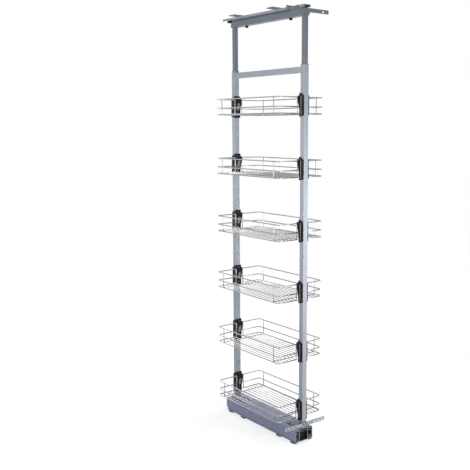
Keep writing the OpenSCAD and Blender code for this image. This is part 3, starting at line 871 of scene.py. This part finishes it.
@dataclass
class Basket(Assembly):
    """A welded wire basket, hung by its top rim.

    Attributes:
        number: Which of the six, counted from the top.
        rim_wire_mm: Diameter of the three rims.
        stay_wire_mm: Diameter of the stays, hangers and cross wires.
        floor_wire_mm: Diameter of the floor wires.
        floor_pitch_mm: Spacing of the floor wires.
        corner_mm: Plan radius of the rims' corners.
        stay_bend_mm: Radius where a cross wire turns up into its stays.
        mid_drop_mm: Middle rim below the top rim.
        low_drop_mm: Bottom rim below the top rim.
        hanger_mm: Distance of the hanger wires from the middle.
        stay_inset_mm: Distance of the stays from the end rims.
        weld_mm: How deep two wires are pressed into each other at a weld.
        nugget_share: Radius of a weld nugget against the thinner wire's diameter.
    """

    number: int
    rim_wire_mm: float = 5
    stay_wire_mm: float = 4
    floor_wire_mm: float = 3
    floor_pitch_mm: float = 20
    corner_mm: float = 10
    stay_bend_mm: float = 5
    mid_drop_mm: float = 40
    low_drop_mm: float = 70
    hanger_mm: float = 19.5
    stay_inset_mm: float = 40
    weld_mm: float = 0.5
    nugget_share: float = 0.62

    def __post_init__(self) -> None:
        """Works out where the middles of the wires lie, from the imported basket's box."""
        self.node = f"basket_{self.number}"
        _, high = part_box(self.node)
        rim, stay, floor = (d * MM for d in (self.rim_wire_mm, self.stay_wire_mm, self.floor_wire_mm))
        weld = self.weld_mm * MM
        self.rim_x = high.x - rim / 2
        self.rim_y = high.y - rim / 2
        self.top_z = high.z - rim / 2
        self.low_z = self.top_z - self.low_drop_mm * MM
        self.rims_z = (self.low_z, self.top_z - self.mid_drop_mm * MM, self.top_z)
        self.stay_x = self.rim_x - rim / 2 - stay / 2 + weld
        self.stay_y = self.rim_y - self.stay_inset_mm * MM
        self.hanger_x = self.hanger_mm * MM
        self.hanger_y = self.rim_y - rim / 2 - stay / 2 + weld
        self.floor_z = self.low_z + rim / 2 + floor / 2 - weld
        self.cross_z = self.floor_z - floor / 2 - stay / 2 + weld

    def build(self, shop: Workshop) -> None:
        """Forms the wires, welds them and hands the basket in.

        Args:
            shop: The workshop that finishes the basket.
        """
        stay = self.stay_wire_mm * MM
        shape = bmesh.new()
        self._top_rim(shape)
        for side in SIDES:
            for height in self.rims_z[:2]:
                self._half_rim(shape, side, height)
        for end in SIDES:
            self._cross_wire(shape, end)
            for side in SIDES:
                start = Vector((side * self.hanger_x, end * self.hanger_y, self.low_z))
                Wire(shape, start, Z_AXIS, stay).run(self.top_z - self.low_z).dome()
        self._floor(shape)
        bmesh.ops.recalc_face_normals(shape, faces=shape.faces[:])
        shop.finish_piece(f"wire_{self.node}", shape, Slot.CHROME, self.node, (self.node,))

    def _top_rim(self, shape: BMesh) -> None:
        """Bends the closed top rim, from the middle of the front end round.

        Args:
            shape: The basket's bmesh.
        """
        corner = self.corner_mm * MM
        half_end = self.rim_x - corner
        side = 2 * (self.rim_y - corner)
        wire = Wire(shape, Vector((0, -self.rim_y, self.top_z)), X_AXIS, self.rim_wire_mm * MM)
        wire.run(half_end)
        for length in (side, 2 * half_end, side, half_end):
            wire.bend(Z_AXIS, 90, corner).run(length)
        wire.close()

    def _half_rim(self, shape: BMesh, side: int, height: float) -> None:
        """Bends one half of a lower rim, from hanger to hanger.

        Args:
            shape: The basket's bmesh.
            side: Left or right half.
            height: Height of the rim.
        """
        corner = self.corner_mm * MM
        end = self.rim_x - corner - self.hanger_x
        start = Vector((side * self.hanger_x, -self.rim_y, height))
        wire = Wire(shape, start, X_AXIS * side, self.rim_wire_mm * MM)
        wire.run(end)
        for length in (2 * (self.rim_y - corner), end):
            wire.bend(Z_AXIS * side, 90, corner).run(length)
        wire.dome()
        reach = self.hanger_y + (self.stay_wire_mm - self.weld_mm) / 2 * MM
        for turn in SIDES:
            self._weld(shape, Vector((side * self.hanger_x, turn * reach, height)), self.stay_wire_mm)

    def _cross_wire(self, shape: BMesh, end: int) -> None:
        """Bends a cross wire under the floor that turns up into the stays at both sides.

        Args:
            shape: The basket's bmesh.
            end: Front or rear end.
        """
        bend = self.stay_bend_mm * MM
        rise = self.top_z - self.cross_z - bend
        start = Vector((-self.stay_x, end * self.stay_y, self.top_z))
        wire = Wire(shape, start, -Z_AXIS, self.stay_wire_mm * MM)
        wire.run(rise).bend(-Y_AXIS, 90, bend).run(2 * (self.stay_x - bend)).bend(-Y_AXIS, 90, bend).run(rise)
        wire.dome()
        reach = self.stay_x + (self.stay_wire_mm - self.weld_mm) / 2 * MM
        for side in SIDES:
            for height in self.rims_z:
                self._weld(shape, Vector((side * reach, end * self.stay_y, height)), self.stay_wire_mm)

    def _floor(self, shape: BMesh) -> None:
        """Lays the floor wires, the middle ones only between the cross wires, clear of the holders.

        Args:
            shape: The basket's bmesh.
        """
        pitch = self.floor_pitch_mm * MM
        wire_d = self.floor_wire_mm * MM
        clear = self.hanger_x + self.stay_wire_mm / 2 * MM
        contact = self.floor_z - (self.floor_wire_mm - self.weld_mm) / 2 * MM
        per_side = int((self.rim_x - pitch / 2 - self.rim_wire_mm * MM) / pitch)
        for side in SIDES:
            for index in range(per_side + 1):
                x = side * (index + 0.5) * pitch
                long = abs(x) > clear
                reach = self.rim_y if long else self.stay_y + self.stay_wire_mm / 2 * MM
                start = Vector((x, -reach, self.floor_z))
                Wire(shape, start, Y_AXIS, wire_d, sides=10).run(2 * reach).dome()
                for end in SIDES:
                    self._weld(shape, Vector((x, end * self.stay_y, contact)), self.floor_wire_mm)
                    if long:
                        self._weld(shape, Vector((x, end * self.rim_y, contact)), self.floor_wire_mm)

    def _weld(self, shape: BMesh, place: Vector, thin_mm: float) -> None:
        """Sets a plated-over weld nugget where two wires touch.

        Args:
            shape: The basket's bmesh.
            place: The point of contact.
            thin_mm: Diameter of the thinner wire.
        """
        bmesh.ops.create_uvsphere(
            shape, u_segments=8, v_segments=4, radius=self.nugget_share * thin_mm * MM,
            matrix=Matrix.Translation(place),
        )


@dataclass
class BaseRunner(Assembly):
    """The runner fixed to the cabinet floor, with its slides.

    Attributes:
        rubber_edge_mm: Rounded edge of the rubber pads and bumpers.
        sheet_edge_mm: Rolled edge of the floor plate and centre beam.
        rail_edge_mm: Edge of the slide rails.
        moulding_edge_mm: Edge of the black plug.
    """

    rubber_edge_mm: float = 1.6
    sheet_edge_mm: float = 0.5
    rail_edge_mm: float = 0.3
    moulding_edge_mm: float = 0.8

    def build(self, shop: Workshop) -> None:
        """Builds the runner's pieces.

        Args:
            shop: The workshop that finishes them.
        """
        shop.soften(self.rubber_edge_mm, "floor_pads", "rear_bumpers")
        shop.soften(self.sheet_edge_mm, "floor_plate", "base_beam")
        shop.soften(self.moulding_edge_mm, "beam_plug")
        for side in ("left", "right"):
            rails = (f"outer_rail_{side}", f"middle_rail_{side}", f"inner_rail_{side}")
            shop.soften(self.rail_edge_mm, *rails)
        shop.dress("outer_ball_cages", "inner_ball_cages")


@dataclass
class Carriage(Assembly):
    """The frame that pulls out: cover, feet, uprights, crossbar and the lower door bracket.

    Attributes:
        cover_edge_mm: Edge of the pressed cover.
        tube_edge_mm: Edge at the cut ends and holes of the tubes.
        foot_edge_mm: Edge of the feet.
        bracket_edge_mm: Edge of the door bracket.
        bush_edge_mm: Edge of the guide bushes and lock screws.
        bead_mm: Width of the weld beads at the crossbar's ends.
        bead_out: How far a bead's middle lies outside the crossbar's faces, against its width.
        bead_back: How far it lies back from the crossbar's end, against its width.
        ripple_mm: Length of a ripple in those beads.
        foot_head_h_mm: Height of a foot screw's head.
        foot_rim_share: Straight rim of that head against its height; the rest is domed.
        foot_shank_mm: Diameter of the foot screws.
        foot_nut_h_mm: Height of their nuts.
    """

    cover_edge_mm: float = 0.6
    tube_edge_mm: float = 0.35
    foot_edge_mm: float = 0.8
    bracket_edge_mm: float = 0.25
    bush_edge_mm: float = 0.5
    bead_mm: float = 3.6
    bead_out: float = 1 / 8
    bead_back: float = 1 / 6
    ripple_mm: float = 2.2
    foot_head_h_mm: float = 3
    foot_rim_share: float = 0.6
    foot_shank_mm: float = 5
    foot_nut_h_mm: float = 3.5

    def build(self, shop: Workshop) -> None:
        """Builds the carriage's pieces.

        Args:
            shop: The workshop that finishes them.
        """
        shop.soften(self.cover_edge_mm, "runner_cover")
        shop.soften(self.tube_edge_mm, "upright_front", "upright_rear", "crossbar")
        shop.soften(self.foot_edge_mm, "foot_front", "foot_rear")
        shop.soften(self.bracket_edge_mm, "lower_door_bracket")
        shop.soften(self.bush_edge_mm, "guide_bush_front", "guide_bush_rear", "lock_screws")
        shop.dress("stop_pins")
        self._weld_beads(shop)
        self._screws(shop)

    def _weld_beads(self, shop: Workshop) -> None:
        """Runs a painted weld bead round each end of the crossbar.

        Args:
            shop: The workshop that finishes them.
        """
        low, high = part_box("crossbar")
        bead = self.bead_mm * MM
        corner = bead / 2
        out = self.bead_out * bead
        half_x = high.x + out
        half_z = (high.z - low.z) / 2 + out
        middle_z = (high.z + low.z) / 2
        shape = bmesh.new()
        for end in SIDES:
            start = Vector((0, end * (high.y - self.bead_back * bead), middle_z - half_z))
            wire = Wire(shape, start, X_AXIS, bead, sides=8)
            half_run = half_x - corner
            upright_run = 2 * (half_z - corner)
            wire.bead(half_run, self.ripple_mm * MM)
            for length in (upright_run, 2 * half_run, upright_run, half_run):
                wire.bend(-Y_AXIS, 90, corner, steps=3).bead(length, self.ripple_mm * MM)
            wire.close()
        bmesh.ops.recalc_face_normals(shape, faces=shape.faces[:])
        shop.finish_piece("crossbar_weld_beads", shape, Slot.SILVER, shop.body_of["crossbar"])

    def _screws(self, shop: Workshop) -> None:
        """Models the foot screws with their nuts and the door bracket's screws.

        Args:
            shop: The workshop that finishes them.
        """
        shape = bmesh.new()
        head_h = self.foot_head_h_mm * MM
        rim_h = self.foot_rim_share * head_h
        for low, high in shop.solids_of("carriage_screws"):
            middle = (low + high) / 2
            size = high - low
            if size.y > size.z:  # a door screw lies, a foot screw stands
                top = Vector((middle.x, low.y, middle.z))
                screw = Screw(top, -Y_AXIS, size.x, self.foot_shank_mm * MM)
                screw.head(rim_h, 0, size.y, head_h - rim_h)
            else:
                nut_h = self.foot_nut_h_mm * MM
                top = Vector((middle.x, middle.y, high.z))
                screw = Screw(top, Z_AXIS, size.y, self.foot_shank_mm * MM)
                screw.head(rim_h, 0, size.z, head_h - rim_h).nut(size.z - nut_h, nut_h, size.x)
            screw.add_to(shape)
        body = shop.body_of["carriage_screws"]
        shop.finish_piece(
            "foot_and_door_screws", shape, Slot.DARK_GREY, body, ("carriage_screws",), even=True
        )


@dataclass
class Holders(Assembly):
    """The twelve black holders on the uprights, with their grey inlays and screws.

    Attributes:
        edge_mm: Moulded edge of a holder.
        inlay_edge_mm: Edge of an inlay.
        shank_mm: Diameter of the screws.
    """

    edge_mm: float = 0.6
    inlay_edge_mm: float = 0.25
    shank_mm: float = 5.1

    def build(self, shop: Workshop) -> None:
        """Builds the holders' pieces.

        Args:
            shop: The workshop that finishes them.
        """
        for number in BASKETS:
            shop.soften(self.edge_mm, f"holder_{number}_front", f"holder_{number}_rear")
        shop.soften(self.inlay_edge_mm, "holder_caps")
        shape = bmesh.new()
        shank = self.shank_mm * MM
        for low, high in shop.solids_of("holder_screws"):
            middle = (low + high) / 2
            head_d = high.x - low.x
            inward = -1 if middle.y > 0 else 1
            top = Vector((middle.x, low.y if inward < 0 else high.y, middle.z))
            screw = Screw(top, Y_AXIS * inward, head_d, shank)
            screw.head(0, (head_d - shank) / 2, high.y - low.y).add_to(shape)
        body = shop.body_of["holder_screws"]
        shop.finish_piece("countersunk_holder_screws", shape, Slot.ZINC, body, ("holder_screws",), even=True)


@dataclass
class TelescopicHead(Assembly):
    """The head that slides up out of the uprights, with the upper door bracket and its fixings.

    Attributes:
        tube_edge_mm: Edge at the tubes' cut ends.
        channel_edge_mm: Edge of the head channel.
        bracket_edge_mm: Edge of the door bracket.
        rail_edge_mm: Edge of the slide rail.
        knob_h_mm: Height of a knob.
        knob_d_mm: Diameter of a knob.
        bolt_mm: Diameter of the bolts.
        nut_h_mm: Height of the nuts.
        nut_mm: Width of the nuts across corners.
        bolt_head_h_mm: Height of the bolt heads moulded into the knobs.
        screw_mm: Diameter of the door bracket's screw.
        screw_rim_mm: Height of its head's straight rim.
        screw_dome_mm: Height of its head's dome.
    """

    tube_edge_mm: float = 0.35
    channel_edge_mm: float = 0.7
    bracket_edge_mm: float = 0.6
    rail_edge_mm: float = 0.3
    knob_h_mm: float = 9
    knob_d_mm: float = 14
    bolt_mm: float = 6
    nut_h_mm: float = 3
    nut_mm: float = 10
    bolt_head_h_mm: float = 0.4
    screw_mm: float = 5
    screw_rim_mm: float = 1.8
    screw_dome_mm: float = 1.2

    def build(self, shop: Workshop) -> None:
        """Builds the head's pieces.

        Args:
            shop: The workshop that finishes them.
        """
        shop.soften(self.tube_edge_mm, "inner_tube_front", "inner_tube_rear")
        shop.soften(self.channel_edge_mm, "head_channel")
        shop.soften(self.bracket_edge_mm, "upper_door_bracket")
        shop.soften(self.rail_edge_mm, "top_inner_rail")
        shop.dress("tube_glides")
        self._fixings(shop)

    def _fixings(self, shop: Workshop) -> None:
        """Models the fluted knobs, and the bolts, nuts and screw that they go with.

        Args:
            shop: The workshop that finishes them.
        """
        knobs = bmesh.new()
        bolts = bmesh.new()
        knob_h = self.knob_h_mm * MM
        nut_h = self.nut_h_mm * MM
        for low, high in shop.solids_of("head_fixings"):
            middle = (low + high) / 2
            base = Vector((middle.x, middle.y, low.z))
            size = high - low
            if size.z > 2 * knob_h:  # a bolt in its knob; the bracket's screw is shorter
                Screw(base, -Z_AXIS, self.knob_d_mm * MM, self.bolt_mm * MM).knob(knob_h).add_to(knobs)
                inside = base + Z_AXIS * knob_h / 2
                bolt = Screw(inside, -Z_AXIS, self.nut_mm * MM, self.bolt_mm * MM)
                bolt.head(self.bolt_head_h_mm * MM, 0, size.z - knob_h / 2)
                bolt.nut(size.z - knob_h / 2 - nut_h, nut_h, self.nut_mm * MM).add_to(bolts)
            else:
                screw = Screw(base, -Z_AXIS, size.x, self.screw_mm * MM)
                rim_h, dome_h = self.screw_rim_mm * MM, self.screw_dome_mm * MM
                screw.head(rim_h, 0, size.z, dome_h).add_to(bolts)
        body = shop.body_of["head_fixings"]
        for name, shape, slot in (
            ("head_knobs", knobs, Slot.BLACK_NYLON), ("head_bolts_and_nuts", bolts, Slot.ZINC)
        ):
            shop.finish_piece(name, shape, slot, body, ("head_fixings",), even=True)


@dataclass
class CeilingRail(Assembly):
    """The rail under the cabinet top, its plates, its middle rail and the black stop.

    Attributes:
        plate_edge_mm: Edge of the plates.
        rail_edge_mm: Edge of the rails.
        moulding_edge_mm: Edge of the stop.
    """

    plate_edge_mm: float = 0.8
    rail_edge_mm: float = 0.3
    moulding_edge_mm: float = 1.2

    def build(self, shop: Workshop) -> None:
        """Builds the ceiling pieces.

        Args:
            shop: The workshop that finishes them.
        """
        shop.soften(self.plate_edge_mm, "ceiling_plate_front", "ceiling_plate_rear")
        shop.soften(self.rail_edge_mm, "ceiling_rail", "top_middle_rail")
        shop.soften(self.moulding_edge_mm, "ceiling_stop")
        shop.dress("top_outer_cages", "top_inner_cages")


@dataclass(frozen=True)
class Lamp:
    """One square soft lamp, unseen by the camera.

    Attributes:
        name: Its name.
        place: Where it hangs, in metres.
        aim: The point that it faces, in metres.
        size_m: Its side.
        watts: Its power.
    """

    name: str
    place: tuple[float, float, float]
    aim: tuple[float, float, float]
    size_m: float
    watts: float

    def hang(self) -> None:
        """Hangs the lamp in the studio."""
        data = bpy.data.lights.new(self.name, "AREA")
        data.size = self.size_m
        data.energy = self.watts
        lamp = bpy.data.objects.new(self.name, data)
        lamp.location = self.place
        lamp.rotation_mode = "QUATERNION"
        lamp.rotation_quaternion = (Vector(self.aim) - Vector(self.place)).to_track_quat("-Z", "Y")
        lamp.visible_camera = False
        bpy.context.scene.collection.objects.link(lamp)


LAMPS: tuple[Lamp, ...] = (
    # a soft box close before the front upright: brightest at mid height
    Lamp("front_lamp", place=(0.2, -1.12, 0.92), aim=(0.0, -0.25, 0.9), size_m=0.6, watts=8.6),
    # a smaller one to the left, high, for the left faces of the upper half
    Lamp("left_lamp", place=(-1.1, -0.35, 1.4), aim=(0.0, -0.1, 1.25), size_m=0.6, watts=6.5),
    # two fills for the sides that the picture doesn't show
    Lamp("right_lamp", place=(1.5, 0.3, 1.05), aim=(0.0, 0.1, 0.95), size_m=0.9, watts=11.0),
    Lamp("rear_lamp", place=(-0.3, 1.8, 1.05), aim=(0.0, 0.2, 0.95), size_m=0.9, watts=12.0),
    # a broad one above
    Lamp("top_lamp", place=(0.3, -0.4, 3.6), aim=(0.0, 0.0, 1.0), size_m=2.0, watts=10.0),
)


@dataclass
class Studio:
    """Pale floor, white surroundings, soft lamps and the camera at the photograph's angle.

    Attributes:
        image_px: Side of the square picture.
        sensor_mm: Width of the sensor.
        focal_px: Focal length in pixels of that picture.
        axis_px: Column of the picture that the lens axis meets.
        yaw: How far the camera stands round to the left of the front, in radians.
        pitch: How far it looks down, in radians.
        distance_mm: Distance of the camera from the frame's upright axis, along its heading.
        aside_mm: Offset of the camera to the right of that line.
        height_mm: Height of the lens above the floor.
        floor_size_m: Side of the floor.
        paper: Colour of the floor as it throws light back on the object.
        paper_seen: Colour of the floor as it is seen, on top of its glow.
        glow_near: White that the floor shows by itself near the object; the rest is lit and keeps its shadow.
        glow_far: White that it shows by itself further off, where the lamps don't reach.
        near_m: Distance from the object's axis up to which the first holds.
        far_m: Distance from which the second holds.
        ambient: Strength of the surroundings' light on the object.
    """

    image_px: float = 470
    sensor_mm: float = 36
    focal_px: float = 740
    axis_px: float = 270
    yaw: float = -0.674
    pitch: float = 0.144
    distance_mm: float = 3348.5
    aside_mm: float = 8.7
    height_mm: float = 1393.2
    floor_size_m: float = 30.0
    paper: str = "FAFAFB"
    paper_seen: str = "BCBCBE"
    glow_near: float = 0.64
    glow_far: float = 0.885
    near_m: float = 0.5
    far_m: float = 2.2
    ambient: float = 0.22

    def build(self) -> None:
        """Builds the whole studio."""
        self._floor()
        self._world()
        for lamp in LAMPS:
            lamp.hang()
        self._camera()

    def _seen(self, tree: NodeTree) -> NodeSocket:
        """Tells the rays that show the studio to the eye, in a mirror or through glass.

        Args:
            tree: The node tree of the floor or the surroundings.

        Returns:
            1 for those rays and 0 for others.
        """
        path = add_node(tree, "ShaderNodeLightPath")
        direct = add_node(
            tree, "ShaderNodeMath", {"operation": "MAXIMUM"},
            {0: path.outputs["Is Camera Ray"], 1: path.outputs["Is Glossy Ray"]},
        )
        seen = add_node(
            tree, "ShaderNodeMath", {"operation": "MAXIMUM"},
            {0: direct.outputs["Value"], 1: path.outputs["Is Transmission Ray"]},
        )
        return seen.outputs["Value"]

    def _floor(self) -> None:
        """Lays the pale floor, which looks white away from the object's shadow."""
        mesh = bpy.data.meshes.new("studio_floor")
        shape = bmesh.new()
        bmesh.ops.create_grid(shape, x_segments=1, y_segments=1, size=self.floor_size_m / 2)
        shape.to_mesh(mesh)
        shape.free()
        floor = bpy.data.objects.new("studio_floor", mesh)
        bpy.context.scene.collection.objects.link(floor)
        material = bpy.data.materials.new("white_paper_sweep")
        material.use_nodes = True
        tree = material.node_tree
        tree.nodes.clear()
        seen = self._seen(tree)
        tone = add_node(
            tree, "ShaderNodeMix",
            {"data_type": "RGBA", 6: linear(self.paper), 7: linear(self.paper_seen)}, {0: seen},
        )
        paper = add_node(tree, "ShaderNodeBsdfDiffuse", links={"Color": tone.outputs[2]})
        place = add_node(tree, "ShaderNodeTexCoord").outputs["Object"]
        away = add_node(tree, "ShaderNodeVectorMath", {"operation": "LENGTH"}, {0: place})
        glow = add_node(
            tree, "ShaderNodeMapRange",
            {
                "From Min": self.near_m, "From Max": self.far_m,
                "To Min": self.glow_near, "To Max": self.glow_far,
            },
            {"Value": away.outputs["Value"]},
        )
        share = add_node(
            tree, "ShaderNodeMath", {"operation": "MULTIPLY"}, {0: seen, 1: glow.outputs["Result"]}
        )
        white = add_node(
            tree, "ShaderNodeEmission", {"Color": (1, 1, 1, 1)}, {"Strength": share.outputs["Value"]}
        )
        look = add_node(
            tree, "ShaderNodeAddShader", links={0: paper.outputs["BSDF"], 1: white.outputs["Emission"]}
        )
        add_node(tree, "ShaderNodeOutputMaterial", links={"Surface": look.outputs["Shader"]})
        mesh.materials.append(material)

    def _world(self) -> None:
        """Surrounds the object with even light, seen as plain white by the camera and in reflections."""
        world = bpy.data.worlds.new("studio_world")
        bpy.context.scene.world = world
        world.use_nodes = True
        tree = world.node_tree
        tree.nodes.clear()
        strength = add_node(
            tree, "ShaderNodeMapRange", {"To Min": self.ambient, "To Max": 1.0}, {"Value": self._seen(tree)}
        )
        light = add_node(
            tree, "ShaderNodeBackground", {"Color": (1, 1, 1, 1)}, {"Strength": strength.outputs["Result"]}
        )
        add_node(tree, "ShaderNodeOutputWorld", links={"Surface": light.outputs["Background"]})

    def _camera(self) -> None:
        """Stands the camera at the photograph's angle."""
        data = bpy.data.cameras.new("studio_camera")
        data.sensor_width = self.sensor_mm
        data.lens = self.focal_px / self.image_px * self.sensor_mm
        data.shift_x = (self.image_px / 2 - self.axis_px) / self.image_px
        back = Vector((math.sin(self.yaw), -math.cos(self.yaw), 0))
        right = Vector((math.cos(self.yaw), math.sin(self.yaw), 0))
        camera = bpy.data.objects.new("studio_camera", data)
        camera.location = (back * self.distance_mm + right * self.aside_mm + Z_AXIS * self.height_mm) * MM
        look = -back * math.cos(self.pitch) - Z_AXIS * math.sin(self.pitch)
        camera.rotation_mode = "QUATERNION"
        camera.rotation_quaternion = look.to_track_quat("-Z", "Y")
        bpy.context.scene.collection.objects.link(camera)
        bpy.context.scene.camera = camera


def main() -> None:
    """Builds the studio and every sub-assembly in order."""
    logging.basicConfig(level=logging.INFO)
    bpy.context.scene.view_settings.view_transform = "Standard"
    Studio().build()
    shop = Workshop(frame)
    assemblies: list[Assembly] = [BaseRunner(), Carriage(), Holders(), TelescopicHead(), CeilingRail()]
    assemblies += [Basket(number) for number in BASKETS]
    for assembly in assemblies:
        assembly.build(shop)


if __name__ == "__main__":
    main()
